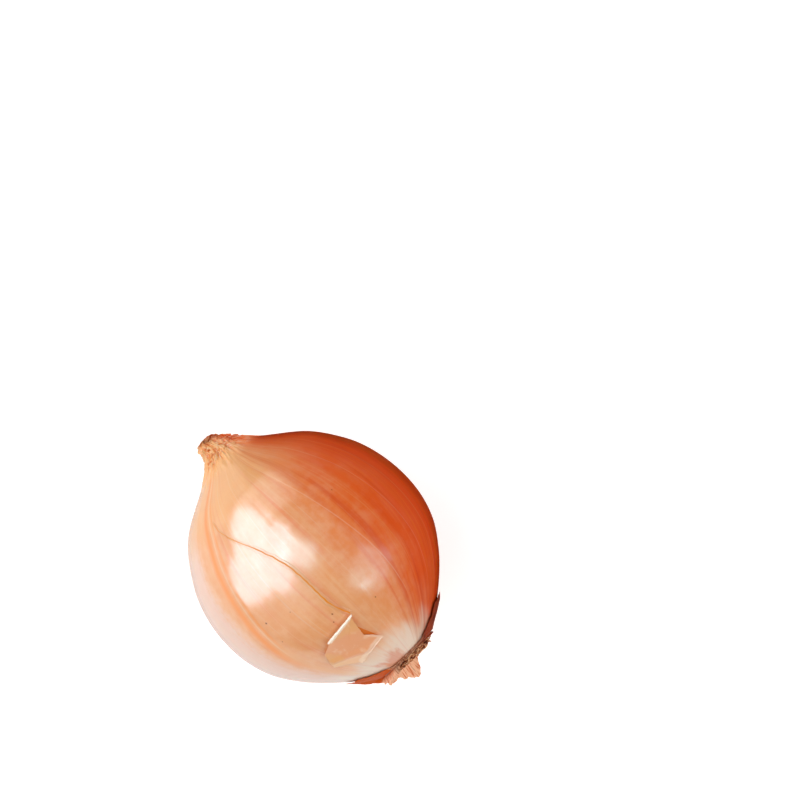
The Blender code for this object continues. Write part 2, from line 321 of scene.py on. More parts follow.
def flat_sheet(name, size, cells, height, material):
    """A level square sheet at that height, of that many cells each way."""
    shape = bmesh.new()
    bmesh.ops.create_grid(shape, x_segments=cells, y_segments=cells, size=size / 2)
    bmesh.ops.translate(shape, vec=(0.0, 0.0, height), verts=shape.verts)
    mesh = bpy.data.meshes.new(name)
    shape.to_mesh(mesh)
    shape.free()
    mesh.materials.append(material)
    sheet = bpy.data.objects.new(name, mesh)
    bpy.context.scene.collection.objects.link(sheet)
    return sheet


def floor_finish():
    """Matte and pale, with a faint grain and a weak glow."""
    material, tree, shader = new_finish(
        "pale floor",
        Roughness=MATTE,
        Specular_IOR_Level=0.0,
        Emission_Color=(*WHITE, 1.0),
        Emission_Strength=FLOOR_GLOW,
    )
    grain = noisy(own_place(tree), FLOOR_GRAIN, 3.0)
    feed(shader, Base_Color=mixed(grain, FLOOR_GREY, FLOOR_PALE))
    return material


floor = flat_sheet("floor", FLOOR_SIZE, 2, 0.0, floor_finish())
print("the floor is", FLOOR_SIZE, "m wide")

# %% [markdown]
# A photographer who doesn't want a pale rim on the far side of a shiny thing lays a black card there,
# just outside the picture. This card is for reflections alone and casts no shadow. It is pale round the
# bulb and turns black on one side, from beside the neck to short of the roots. The change is soft, so
# no edge of it shows on the skin.

# %% Card for reflections
CARD_SIZE = 4.0
CARD_ON_FLOOR = 0.001
CARD_SHORT_OF_ROOTS = math.radians(10)
CARD_FADE_FROM, CARD_FADE_TO = 0.003, 0.024
CARD_ROOT_FADE = 0.010
CARD_PALE, CARD_BLACK = (0.80, 0.80, 0.80, 1.0), (0.0, 0.0, 0.0, 1.0)


def card_finish():
    """Matte card that fades from pale to black on the side of -Y."""
    material, tree, shader = new_finish("card for reflections", Roughness=MATTE, Specular_IOR_Level=0.0)
    x, y, _ = numbers_of(own_place(tree))
    from_roots = x * math.sin(CARD_SHORT_OF_ROOTS) - y * math.cos(CARD_SHORT_OF_ROOTS)
    blackened = rise(y, -CARD_FADE_FROM, -CARD_FADE_TO) * rise(from_roots, 0.0, CARD_ROOT_FADE)
    feed(shader, Base_Color=mixed(blackened, CARD_PALE, CARD_BLACK))
    return material


card = flat_sheet("card for reflections", CARD_SIZE, 1, CARD_ON_FLOOR, card_finish())
card.visible_camera = card.visible_diffuse = card.visible_shadow = False
print("the card is black on the side of -Y")

# %% [markdown]
# ## The form of the bulb
#
# An onion swells from a dished root end to a round belly and narrows into a pinched neck. Its outline
# is a list of points in bulb radii, with a smooth curve through them. The neck points are close
# together because the shape changes fast there.

# %% Outline of the bulb
ROOT_END = [(-1.035, 0.0), (-1.035, 0.185), (-1.050, 0.215), (-1.080, 0.240)]
ROOT_SHOULDER = [(-1.066, 0.272), (-1.025, 0.333), (-0.970, 0.418), (-0.900, 0.508)]
BELLY = [
    (-0.775, 0.650),
    (-0.630, 0.783),
    (-0.438, 0.910),
    (-0.225, 0.980),
    (0.0, 1.0),
    (0.225, 0.975),
    (0.438, 0.908),
    (0.630, 0.798),
    (0.775, 0.685),
]
NECK_SHOULDER = [(0.873, 0.572), (0.950, 0.455), (1.020, 0.345), (1.075, 0.275)]
NECK = [(1.125, 0.214), (1.175, 0.166), (1.225, 0.130), (1.266, 0.110)]
NECK_CUT = [(1.300, 0.092), (1.321, 0.064), (1.331, 0.030), (1.334, 0.0)]
OUTLINE_STEPS = 9


def ease(value, low, high):
    """0 below low, 1 above high and a smooth rise between them."""
    share = min(1.0, max(0.0, (value - low) / (high - low)))
    return share * share * (3 - 2 * share)


def between(start, end, share):
    """Each number of start moved that share of the way to the one in end."""
    return [a + (b - a) * share for a, b in zip(start, end)]


def smooth_through(points, steps):
    """A Catmull-Rom curve through the points, with that many steps in each span."""
    padded = [points[0], *points, points[-1]]
    curve = []
    for before, start, end, after in zip(padded, padded[1:], padded[2:], padded[3:]):
        for step in range(steps):
            t = step / steps
            weights = (2 * t**2 - t**3 - t, 2 - 5 * t**2 + 3 * t**3, t + 4 * t**2 - 3 * t**3, t**3 - t**2)
            spans = zip(before, start, end, after)
            curve.append([sum(w * value for w, value in zip(weights, span)) / 2 for span in spans])
    curve.append(points[-1])
    return [(along, max(0.0, radius)) for along, radius in curve]


@functools.cache
def bulb_outline():
    """The outline in metres, from the middle of the root end to the middle of the cut neck."""
    points = ROOT_END + ROOT_SHOULDER + BELLY + NECK_SHOULDER + NECK + NECK_CUT
    curve = smooth_through(points, OUTLINE_STEPS)
    return [(along * BULB_RADIUS, radius * BULB_RADIUS) for along, radius in curve]


print(len(bulb_outline()), "points on the outline")

# %% [markdown]
# The pieces that lie on the skin have to ask where it is. Two questions are enough: the radius at a
# place along the axis, and the point at a distance from the rim of the root end, measured on the skin.
# A third function puts such a place at its angle round the axis.


# %% Where the skin is
@functools.cache
def side_line():
    """The outline from the rim of the root end on: places along, radii and distances from the rim."""
    curve = bulb_outline()
    side = curve[curve.index(min(curve)) :]
    distances = [0.0]
    for start, end in zip(side, side[1:]):
        distances.append(distances[-1] + math.dist(start, end))
    return [along for along, _ in side], [radius for _, radius in side], distances


def outline_point(distance):
    """(along, radius) and the outward normal at that distance from the root rim."""
    places, radii, distances = side_line()
    after = bisect.bisect_right(distances, distance)
    start, end = (Vector((places[i], radii[i])) for i in (after - 1, after))
    share = (distance - distances[after - 1]) / (distances[after] - distances[after - 1])
    run = end - start
    return start + run * share, Vector((-run.y, run.x)).normalized()


def radius_at(along):
    """The plain outline's radius at that place along the axis."""
    places, radii, _ = side_line()
    after = min(max(bisect.bisect_right(places, along), 1), len(places) - 1)
    share = (along - places[after - 1]) / (places[after] - places[after - 1])
    return radii[after - 1] + (radii[after] - radii[after - 1]) * share


def around(along, radius, angle):
    """The point at that angle from the top, turned towards +Y."""
    return Vector((along, radius * math.sin(angle), radius * math.cos(angle)))


print("radius at the belly %.1f mm" % (radius_at(0.0) / MM))

# %% [markdown]
# ## What makes it a real bulb
#
# No onion is perfectly round. Long low waves round it are the scales inside, fine ones are veins, and
# the neck is crumpled because the leaves dried there. The waves are sums of cosines of the angle. Soft
# dents and the sharp small folds of the neck come from Blender's own noise function. Its vectors start
# from the clock unless it gets a seed, so it gets one, and the onion is the same in every run.

# %% Relief of the skin
NOISE_SEED = 1795667123
noise.seed_set(NOISE_SEED)
LOBES_AND_RIBS = ((2, 0.0045, 0.3), (3, 0.0030, 1.9), (5, 0.0015, 4.0), (16, 0.0012, 0.7), (23, 0.0009, 2.6))
FINE_VEINS = ((61, 0.0004, 1.3), (97, 0.0002, 0.4))
CRUMPLE = ((5, 0.055, 0.8, 9.0), (8, 0.050, 2.2, -14.0), (13, 0.030, 4.1, 21.0))
CRUMPLE_FROM, CRUMPLE_TO = 1.06, 1.20
DENT, DENT_SIZE, DENT_BIAS = 0.0030, 1.7, 0.8
RIDGE_STEEPNESS = 3
FOLD, FOLD_COUNT, FOLD_LENGTH = 0.00034, 5.2, 6.0
FOLD_WARP, FOLD_SUNK = (0.6, 0.8), 0.7
FOLD_UNEVEN, FOLD_UNEVEN_SIZE = 0.4, 3.1
FOLDS_FROM, FOLDS_TO = 0.97, 1.12
CRINKLE, CRINKLE_SIZE = 0.00062, 680.0
CRINKLE_WARP, CRINKLE_SUNK = (0.7, 1.1), 0.85
CRINKLES_FROM, CRINKLES_TO = 1.07, 1.17


def waves(along, angle):
    """The height of lobes, veins and the neck's large crumples, as a share of the radius."""
    place = along / BULB_RADIUS
    swell = sum(size * math.cos(count * angle + phase) for count, size, phase in LOBES_AND_RIBS + FINE_VEINS)
    folds = sum(
        size * math.cos(count * angle + phase + twist * (place - 1))
        for count, size, phase, twist in CRUMPLE
    )
    return swell + folds * ease(place, CRUMPLE_FROM, CRUMPLE_TO)


def dents(along, angle):
    """Soft uneven spots, as a share of the radius."""
    spot = Vector((along / BULB_RADIUS, math.sin(angle), math.cos(angle))) * DENT_SIZE
    return DENT * (noise.noise(spot) - DENT_BIAS)


def ridges(spot, warp_size, warp):
    """1 on the sharp crests of a wandering pattern, and less beside them."""
    return 1 - RIDGE_STEEPNESS * abs(noise.noise(spot + noise.noise_vector(spot * warp_size) * warp))


def neck_folds(along, angle, radius):
    """The long folds of the dried neck and the crinkles of its papery tip, in metres."""
    place = along / BULB_RADIUS
    grip, crisp = ease(place, FOLDS_FROM, FOLDS_TO), ease(place, CRINKLES_FROM, CRINKLES_TO)
    if not grip:
        return 0.0
    spot = Vector((place * FOLD_LENGTH, math.sin(angle) * FOLD_COUNT, math.cos(angle) * FOLD_COUNT))
    uneven = FOLD_UNEVEN * noise.noise(spot * FOLD_UNEVEN_SIZE)
    height = FOLD * grip * (ridges(spot, *FOLD_WARP) - FOLD_SUNK + uneven)
    if crisp:
        spot = around(along, radius, angle) * CRINKLE_SIZE
        height += CRINKLE * crisp * (ridges(spot, *CRINKLE_WARP) - CRINKLE_SUNK)
    return height


def skin_radius(along, angle, radius):
    """The radius of the real skin where the plain outline has that radius."""
    return radius * (1 + waves(along, angle) + dents(along, angle)) + neck_folds(along, angle, radius)


print("radius at the top of the belly %.2f mm" % (skin_radius(0.0, 0.0, radius_at(0.0)) / MM))

# %% [markdown]
# The neck leans a little to one side and its tip turns back. So its rings are shifted off the axis,
# more and more along the neck. A piece on the skin uses the same two functions as the bulb.

# %% Points round the axis
NECK_LEAN_SIDE = -0.052
NECK_LEAN_UP = 0.030
NECK_TIP_BACK = 0.036
LEAN_FROM, LEAN_TO = 0.85, 1.14
BACK_FROM, BACK_TO = 1.19, 1.31


def neck_shift(along):
    """How far the neck's middle is off the axis."""
    place = along / BULB_RADIUS
    lean = ease(place, LEAN_FROM, LEAN_TO)
    side = NECK_LEAN_SIDE * lean + NECK_TIP_BACK * ease(place, BACK_FROM, BACK_TO)
    return Vector((0.0, side, NECK_LEAN_UP * lean)) * BULB_RADIUS


def above_skin(along, angle, lift):
    """The point that lies lift above the bulb's real skin."""
    step = 0.5 * MM
    slope = (radius_at(along + step) - radius_at(along - step)) / (2 * step)
    outward = Vector((-slope, 1.0)).normalized()
    radius = skin_radius(along, angle, radius_at(along))
    return around(along + outward.x * lift, radius + outward.y * lift, angle) + neck_shift(along)


print("the neck's middle is at most %.1f mm off the axis" % (neck_shift(BACK_FROM * BULB_RADIUS).length / MM))

# %% [markdown]
# ## The bulb
#
# The outline is spun round the axis with `bmesh.ops.spin`, and each vertex is then moved out to the real
# skin. Each vertex also stores where it is on the bulb, as its place along and the sine and cosine of
# its angle. The finish reads that attribute, so its streaks follow the meridians through every fold.

# %% Bulb mesh
BULB_SIDES = 320
CUT_SLANT = 0.02
CUT_HIGHEST = math.radians(-52)
CUT_FROM = 1.285
CUT_HOLLOW = 0.0007
CUT_LAYERS, CUT_LAYER_DEPTH = 3.0, 0.00035
SPOT_ATTRIBUTE = "spot_on_bulb"
GAP_ATTRIBUTE = "in_the_gap"
FOLD_ATTRIBUTE = "fold_height"


def spun(outline, sides):
    """The closed shape that (along, radius) points sweep round the X axis."""
    shape = bmesh.new()
    line = [shape.verts.new((along, 0.0, radius)) for along, radius in outline]
    edges = [shape.edges.new(pair) for pair in zip(line, line[1:])]
    turn = {"cent": (0, 0, 0), "axis": (1, 0, 0), "angle": 2 * math.pi, "steps": sides, "use_merge": True}
    bmesh.ops.spin(shape, geom=line + edges, **turn)
    bmesh.ops.remove_doubles(shape, verts=shape.verts, dist=SAME_PLACE)
    bmesh.ops.recalc_face_normals(shape, faces=shape.faces)
    return shape


def cut_layers(along, radius, angle):
    """How deep the cut end of the neck is hollowed: rings of dried leaf round a sunken middle."""
    place = along / BULB_RADIUS
    share = min(1.0, radius / (NECK[-1][1] * BULB_RADIUS))
    wobble = 0.35 * math.sin(2 * angle + 0.6) + 0.25 * math.sin(5 * angle)
    ring = 0.5 - 0.5 * math.cos(2 * math.pi * (share * CUT_LAYERS + wobble * share))
    return ease(place, CUT_FROM, NECK_CUT[0][0]) * (CUT_HOLLOW * (1 - share) + CUT_LAYER_DEPTH * ring)


def finished(name, shape, material, node=None):
    """The piece made from the shape, put on the onion's axis and riding on its body."""
    mesh = bpy.data.meshes.new(name)
    shape.to_mesh(mesh)
    shape.free()
    mesh.transform(Matrix.Translation(AXIS))
    mesh.materials.append(material)
    mesh.shade_smooth()
    piece = bpy.data.objects.new(name, mesh)
    bpy.context.scene.collection.objects.link(piece)
    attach(piece, "root")
    if node:
        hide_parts(node)
    print(name, "has", len(mesh.polygons), "faces")
    return piece


def bulb_shape():
    """The bulb with its lobes, veins, crumpled neck, layered cut and flat spot."""
    shape = spun(bulb_outline(), BULB_SIDES)
    spot = shape.verts.layers.float_vector.new(SPOT_ATTRIBUTE)
    fold = shape.verts.layers.float.new(FOLD_ATTRIBUTE)
    for vertex in shape.verts:
        along, angle = vertex.co.x, math.atan2(vertex.co.y, vertex.co.z)
        plain = math.hypot(vertex.co.y, vertex.co.z)
        radius = skin_radius(along, angle, plain) if plain > SAME_PLACE else 0.0
        at_cut = ease(along / BULB_RADIUS, BACK_FROM, BACK_TO)
        slant = CUT_SLANT * radius * at_cut * math.cos(angle - CUT_HIGHEST)
        end = along + slant - cut_layers(along, plain, angle)
        vertex.co = around(end, radius, angle) + neck_shift(along)
        vertex[spot] = (along / BULB_RADIUS, math.sin(angle), math.cos(angle))
        vertex[fold] = neck_folds(along, angle, plain) / MM
    everything = shape.verts[:] + shape.edges[:] + shape.faces[:]
    low = (0.0, 0.0, -AXIS.z)
    cut = bmesh.ops.bisect_plane(shape, geom=everything, plane_co=low, plane_no=(0, 0, -1), clear_outer=True)
    rim = [item for item in cut["geom_cut"] if isinstance(item, bmesh.types.BMEdge)]
    bmesh.ops.contextual_create(shape, geom=rim)
    return shape


# %% [markdown]
# ## The colours of the skin
#
# The outermost scale is yellower at the neck and pale towards the roots. It is painted a deeper orange
# on the side away from the window and paler on the side towards it, partly its own colour and partly
# painted light and shade.
# Single veins and specks stand out from that. A vein's row holds its angle in degrees at the middle of
# the bulb, its slope, its width in degrees, its strength, the place from which it shows and its colour.
# A speck's row holds its place along, its angle in degrees, its size and its strength.

# %% Colours of the skin
PEACH = screen_colour(230, 157, 106)
PALE_PEACH = screen_colour(240, 190, 152)
PAINTED_RIM_REFLECTION = screen_colour(230, 197, 184)
AMBER = screen_colour(236, 168, 104)
ORANGE = screen_colour(230, 108, 22)
BURNT = screen_colour(223, 72, 0)
SCORCHED = screen_colour(196, 50, 0)
CREAM = screen_colour(228, 204, 180)
SALMON = screen_colour(216, 142, 108)
SPECK = screen_colour(120, 60, 40)
HOLLOW_PAINTED_SHADE = screen_colour(220, 126, 70)
CREST_PAINTED_LIGHT = screen_colour(236, 178, 124)
RIM_BROWN = screen_colour(150, 70, 34)
STREAK = screen_colour(238, 142, 68)
VEINS = (
    (-23.6, 8.8, 0.50, 0.34, -0.6, PALE_PEACH),
    (9.7, -1.0, 0.50, 0.40, -0.4, PALE_PEACH),
    (47.6, -8.0, 4.2, 0.95, -0.5, STREAK),
    (44.0, -8.5, 0.8, 0.55, -0.4, PALE_PEACH),
    (42.0, -9.0, 1.6, 0.60, -0.3, STREAK),
    (-62.0, 4.0, 0.60, 0.10, -0.9, PALE_PEACH),
    (-48.0, 6.0, 0.45, 0.14, -0.8, PALE_PEACH),
    (-36.5, 5.0, 0.40, 0.16, -0.9, AMBER),
    (-8.0, 2.0, 0.45, 0.22, -0.5, PALE_PEACH),
    (24.0, 0.0, 0.60, 0.20, -0.9, CREAM),
    (33.0, -3.0, 0.45, 0.22, -0.9, PALE_PEACH),
    (60.0, -4.0, 0.60, 0.25, -0.9, CREAM),
    (72.0, -4.0, 0.80, 0.25, -0.9, CREAM),
)
SPECKS = (
    (-0.095, 38.8, 0.014, 0.9),
    (-0.405, 11.8, 0.012, 0.8),
    (-0.458, 14.6, 0.011, 0.8),
    (-0.545, -10.3, 0.010, 0.7),
    (-0.160, 25.1, 0.009, 0.6),
    (-0.290, 41.2, 0.009, 0.6),
    (0.310, -31.0, 0.009, 0.6),
    (-0.120, 160.0, 0.014, 0.8),
    (0.340, -128.0, 0.012, 0.8),
    (-0.360, 118.0, 0.012, 0.7),
)
GAP_COLOUR = screen_colour(226, 130, 48)
UNDER_FLAP = screen_colour(226, 112, 24)
print(len(VEINS), "veins and", len(SPECKS), "specks")

# %% [markdown]
# ## The patterns of the skin
#
# The veins of a leaf run from root to tip. So the noise is stretched along the axis and repeated round
# it: wide bands, threads and hairs. Over them lie soft clouds, where an inner scale touches the outer
# one, and small mottles. All masks of the skin are sums of these few patterns, so they are made once.


# %% Patterns of the skin
class SkinPattern:
    """Where each spot is on the bulb, and the patterns that the masks of the skin are made of."""

    def __init__(self, tree):
        spot = own_attribute(tree, SPOT_ATTRIBUTE)
        self.along, self.side, self.up = numbers_of(spot)
        self.turn = self.side.sum("ARCTAN2", self.up)
        self.bands = self.streaks(count=26, stretch=0.5, detail=2.0, start=0.0)
        self.threads = self.streaks(count=110, stretch=0.7, detail=2.0, start=5.0)
        self.hairs = self.streaks(count=380, stretch=1.2, detail=1.0, start=9.0)
        self.clouds = noisy(spot, 5.5, 2.0, 0.45)
        self.wide_clouds = noisy(spot, 1.7, 1.0)
        self.mottles = noisy(spot, 16.0, 3.0, 0.6)
        self.fibres = noisy(spot, 9.0, 3.0)
        self.crinkles = noisy(spot, 24.0, 4.0, 0.65)
        self.folds = own_attribute(tree, FOLD_ATTRIBUTE, "Fac")
        # Painted light and shade, partly the skin's own colour: paler on the side that faces the window.
        self.lit_side = rise(self.side + self.wide_clouds * 0.3 - self.bands * 0.1, -0.85, 0.05)
        self.in_neck = rise(self.along, 1.00, 1.12)
        self.corky = rise(self.along + self.mottles * 0.02, -1.034, -1.050)

    def streaks(self, count, stretch, detail, start):
        """Noise that is drawn out along the meridians, with about that many streaks round the bulb."""
        turns = count / math.tau
        vector = vector_of(self.along * stretch + start, self.side * turns, self.up * turns)
        return noisy(vector, 1.0, detail)


# %% [markdown]
# The broad colours come first. Each is a mask with a name and the colour that it lays over the ones
# before it, so the order of a list is the order of the layers.


# %% Broad colours and streaks
def body_layers(leaf):
    """Peach on the lit side, partly painted light, amber and pale clouds on it, a painted rim reflection and
    a yellow neck end.
    """
    towards_ends = rise(leaf.along, 0.20, 0.80) * 0.25 + rise(leaf.along, -0.45, -0.85) * 0.12
    peach = rise(leaf.side + towards_ends + leaf.wide_clouds * 0.4 - leaf.bands * 0.2, -0.60, 0.30)
    amber_bands = rise(leaf.bands * 0.6 + leaf.threads * 0.4, 0.40, 0.70) * leaf.lit_side * 0.45
    pale_clouds = rise(leaf.clouds * 0.7 + leaf.mottles * 0.3, 0.38, 0.74) * leaf.lit_side * 0.40
    pale_mottles = rise(leaf.mottles, 0.30, 0.70) * leaf.lit_side * 0.12
    # Painted reflection: a pale band along the lit rim, where the skin mirrors the white floor.
    painted_rim_reflection = rise(leaf.side + leaf.bands * 0.10 + leaf.mottles * 0.06, 0.86, 0.97) * 0.68
    neck_end = rise(leaf.along + leaf.bands * 0.2, 0.68, 1.00) * rise(leaf.side, -0.75, 0.0) * 0.8
    return [
        (peach, PEACH),
        (amber_bands, AMBER),
        (pale_clouds, PALE_PEACH),
        (pale_mottles, PALE_PEACH),
        (painted_rim_reflection, PAINTED_RIM_REFLECTION),
        (neck_end, AMBER),
    ]


def root_end_layers(leaf):
    """Cream skin towards the roots, pink patches on it and the corky rim."""
    near_root = rise(leaf.along - leaf.side * 0.06 + leaf.clouds * 0.25 + leaf.bands * 0.15, -0.58, -0.80)
    cream = near_root * rise(leaf.side, -0.95, -0.55) * 0.9
    patch = rise((leaf.side - 0.30).sum("ABSOLUTE") + leaf.mottles * 0.2, 0.42, 0.28) * 0.88 + 0.06
    pink = rise(leaf.along + leaf.clouds * 0.14 + leaf.mottles * 0.06, -0.83, -0.89) * patch
    return [(cream, CREAM), (pink, SALMON), (leaf.corky * 0.85, RIM_BROWN)]


def streak_layers(leaf):
    """Threads and hairs: pale on the lit side, scorched and bright orange on the other, partly painted light.
    """
    dark_side = 1 - leaf.lit_side
    pale_threads = rise(leaf.threads, 0.58, 0.74) * leaf.lit_side * 0.20
    cream_hairs = rise(leaf.hairs, 0.62, 0.78) * leaf.lit_side * 0.20
    burnt_threads = rise(leaf.threads, 0.42, 0.26) * 0.20
    scorched = rise(leaf.bands * 0.4 + leaf.threads * 0.6, 0.50, 0.34) * dark_side * 0.55
    bright = rise(leaf.bands * 0.4 + leaf.hairs * 0.6, 0.50, 0.64) * dark_side * 0.35
    return [
        (pale_threads, PALE_PEACH),
        (cream_hairs, CREAM),
        (burnt_threads, BURNT),
        (scorched, SCORCHED),
        (bright, ORANGE),
    ]


# %% [markdown]
# A vein is a thin band round a line that slopes over the bulb. The neck's colours follow its folds, which
# the mesh stores as a height: paler on each crest and darker in each hollow, partly the neck's own tones
# and partly painted light and shade. A strip beside the flap lies bare, so it has the deeper orange of
# the scale below.

# %% Veins, neck, specks and the bared strip
VEIN_WANDER, VEIN_FADE = 0.03, 0.4
SPECK_EDGE, SPECK_CORE = 1.6, 0.8
BARED_SLOPE, BARED_LINE, BARED_EDGE = 24.7, 23.4, 0.012
BARED_FROM, BARED_TO, BARED_FADE = -0.80, -0.62, 0.03
BARED_ROUND_TO = 0.50, 0.40


def vein_layers(leaf):
    """The lines of the VEINS table, which wander with the bands."""
    layers = []
    wander = (leaf.bands - 0.5) * VEIN_WANDER
    for degrees, slope, width, strength, shows_from, colour in VEINS:
        off = leaf.turn - leaf.along * math.radians(slope) - math.radians(degrees) + wander
        line = rise(off.sum("ABSOLUTE"), math.radians(width), 0.0)
        faded = rise(leaf.along + leaf.clouds * 0.4, shows_from, shows_from + VEIN_FADE)
        layers.append((line * faded * strength, colour))
    return layers


def neck_layers(leaf):
    """Pale crest and orange hollow of each fold, pale and dark crinkles, partly painted light and shade, and
    the brown rim of the cut.
    """
    height = leaf.folds + leaf.fibres * 0.3
    yellow_side = 0.55 + rise(leaf.side, -0.75, -0.15) * 0.45
    # Partly painted light and shade: paler where folds and crinkles rise, darker where they sink.
    painted_crest_light = leaf.in_neck * rise(height, -0.35, 0.10) * yellow_side * 0.8
    painted_hollow_shade = leaf.in_neck * rise(height, -0.30, -0.75) * 0.70
    painted_crinkle_light = leaf.in_neck * rise(leaf.crinkles, 0.53, 0.66) * 0.6
    painted_crinkle_shade = leaf.in_neck * rise(leaf.crinkles, 0.44, 0.32) * 0.4
    cut_rim = rise(leaf.along - leaf.side * 0.03 + leaf.fibres * 0.06, 1.290, 1.328) * 0.65
    return [
        (painted_crest_light, CREST_PAINTED_LIGHT),
        (painted_hollow_shade, HOLLOW_PAINTED_SHADE),
        (painted_crinkle_light, CREAM),
        (painted_crinkle_shade, HOLLOW_PAINTED_SHADE),
        (cut_rim, RIM_BROWN),
    ]


def speck_layers(leaf):
    """The small brown dots of the SPECKS table."""
    layers = []
    for place, degrees, size, strength in SPECKS:
        off = (leaf.turn - math.radians(degrees)).sum("ABSOLUTE") + (leaf.along - place).sum("ABSOLUTE")
        dot = rise(off + leaf.mottles * size, size * SPECK_EDGE, size * SPECK_CORE)
        layers.append((dot * strength, SPECK))
    return layers


def bared_layers(leaf):
    """The strip beside the flap where the scale below lies bare."""
    off = leaf.turn - leaf.along * math.radians(BARED_SLOPE) - math.radians(BARED_LINE)
    strip = rise(off, 0.0, BARED_EDGE) * rise(leaf.along, BARED_FROM - BARED_FADE, BARED_FROM)
    strip = strip * rise(leaf.turn, *BARED_ROUND_TO) * rise(leaf.along, BARED_TO + BARED_FADE, BARED_TO)
    return [(strip * 0.85, UNDER_FLAP)]


# %% [markdown]
# ## The skin's finish
#
# The outermost scale is smooth and waxy, so a clear coat does the mirroring and the base below it
# hardly shines. A little light is scattered under the surface. The coat is thin or missing where the
# skin is dull: on the neck, on the corky rim and in the split.

# %% Finish of the skin
FINE_BUMP, DEEP_BUMP = 0.0001, 0.0002


def skin_finish():
    """The glossy outer scale of the bulb and of the split line."""
    material, tree, shader = new_finish(
        "glossy outer scale",
        Specular_IOR_Level=0.04,
        Coat_Roughness=0.20,
        Coat_IOR=1.8,
        Subsurface_Weight=0.15,
        Subsurface_Scale=0.0025,
        Subsurface_Radius=(1.0, 0.4, 0.2),
    )
    leaf = SkinPattern(tree)
    in_gap = own_attribute(tree, GAP_ATTRIBUTE, "Fac")
    layers = body_layers(leaf) + root_end_layers(leaf) + streak_layers(leaf) + vein_layers(leaf)
    layers += neck_layers(leaf) + speck_layers(leaf) + bared_layers(leaf) + [(in_gap, GAP_COLOUR)]
    # Painted shade, partly own colour: burnt orange on the side away from the window.
    colour = layered(mixed(leaf.lit_side, BURNT, ORANGE), layers)
    rough = 0.36 + rise(leaf.clouds, 0.3, 0.8) * 0.12 + leaf.in_neck * 0.5
    height = leaf.threads * 0.5 + leaf.hairs * 0.2 + leaf.mottles * 0.3 + leaf.crinkles * leaf.in_neck * 1.2
    coat = (1 - leaf.in_neck * 0.85) * rise(in_gap, 0.20, 0.0) * (1 - leaf.corky)
    feed(shader, Base_Color=colour, Roughness=rough, Coat_Weight=coat)
    feed(shader, Normal=raised(tree, height, FINE_BUMP))
    return material


skin = skin_finish()
finished("bulb_skin", bulb_shape(), skin, "bulb")

# %% [markdown]
# ## The split in the skin
#
# The outermost scale has dried and cracked along a line from the neck to the torn flap, and its two
# edges have drawn apart a little. A bump could only shade such a crack. Here it is a narrow ribbon that
# lies on the bulb, almost flush: its lips rise by a hundredth of a millimetre and its outermost rows dip
# under the skin. Between the lips the scale below shows, darker and without gloss. A grid is the plain
# start, and each of its vertices is asked for its place on the crack.

# %% Split ribbon
SPLIT_LINE = [(31.0, 34.0), (27.0, 30.3), (17.2, 18.3), (7.9, 11.6), (0.2, 9.2), (-13.1, 8.6), (-19.9, 5.4)]
SPLIT_STEPS, SPLIT_FINER = 12, 3
SPLIT_HALF = ((0.10, 0.0), (0.34, 0.007), (0.55, 0.006), (0.85, 0.004), (1.16, 0.0), (1.20, -0.08))
SPLIT_ACROSS = [(-across, height) for across, height in SPLIT_HALF[::-1]] + list(SPLIT_HALF)
SPLIT_FLUSH = 0.00002
SPLIT_WANDER, SPLIT_WANDER_SIZE = 0.35, 0.45
SPLIT_OPEN_BY = 0.55
GAP_EDGE, GAP_WIDER = 0.2, 2.2
GAP_COLOUR_FROM, GAP_COLOUR_TO = 0.08, 0.34
SPLIT_BACKING = 0.0002


def split_centre(share):
    """(along, angle, how open) of the crack at that share of its length."""
    line = smooth_through([(along, math.radians(degrees)) for along, degrees in SPLIT_LINE], SPLIT_STEPS)
    place = share * (len(line) - 1)
    index = min(int(place), len(line) - 2)
    along, angle = between(line[index], line[index + 1], place - index)
    wander = noise.noise(Vector((along * SPLIT_WANDER_SIZE, 0.0, 3.0))) * SPLIT_WANDER * MM / BULB_RADIUS
    opened = ease(share, 0.0, SPLIT_OPEN_BY) * (0.75 + 0.5 * noise.noise(Vector((along * 0.3, 7.0, 0.0))))
    return along * MM, angle + wander, opened


def split_shape():
    """The ribbon along the crack, with its two lips and the gap between them."""
    length, width = SPLIT_STEPS * (len(SPLIT_LINE) - 1) * SPLIT_FINER, len(SPLIT_ACROSS) - 1
    shape = bmesh.new()
    bmesh.ops.create_grid(shape, x_segments=length, y_segments=width, size=1.0)
    spot = shape.verts.layers.float_vector.new(SPOT_ATTRIBUTE)
    gap = shape.verts.layers.float.new(GAP_ATTRIBUTE)
    for vertex in shape.verts:
        share = (vertex.co.x + 1) / 2
        across, height = SPLIT_ACROSS[round(width * (vertex.co.y + 1) / 2)]
        along, centre, opened = split_centre(share)
        spread = (0.40 + 0.60 * opened) * (GAP_WIDER if abs(across) < GAP_EDGE else 1.0)
        angle = centre + across * spread * MM / radius_at(along)
        vertex.co = above_skin(along, angle, SPLIT_FLUSH + height * MM * (0.3 + opened))
        vertex[spot] = (along / BULB_RADIUS, math.sin(angle), math.cos(angle))
        in_gap = 1 - ease(abs(across), GAP_COLOUR_FROM, GAP_COLOUR_TO)
        vertex[gap] = in_gap * (0.65 + 0.35 * min(1.0, opened))
    bmesh.ops.recalc_face_normals(shape, faces=shape.faces)
    if sum(face.normal.z for face in shape.faces) < 0:
        bmesh.ops.reverse_faces(shape, faces=shape.faces)
    return shape


split = finished("split_in_skin", split_shape(), skin)
backing = split.modifiers.new("backing", "SOLIDIFY")
backing.thickness, backing.offset = SPLIT_BACKING, -1.0

# %% [markdown]
# ## Dry paper
#
# The collar and the flap are the same stuff as the skin, but they have come away, so light passes
# through them and both faces show. They are modelled as one sheet each, and a Solidify modifier gives
# the sheet its 0.15 mm. The finish has the veins of a dead leaf: dark threads and paler flesh between.

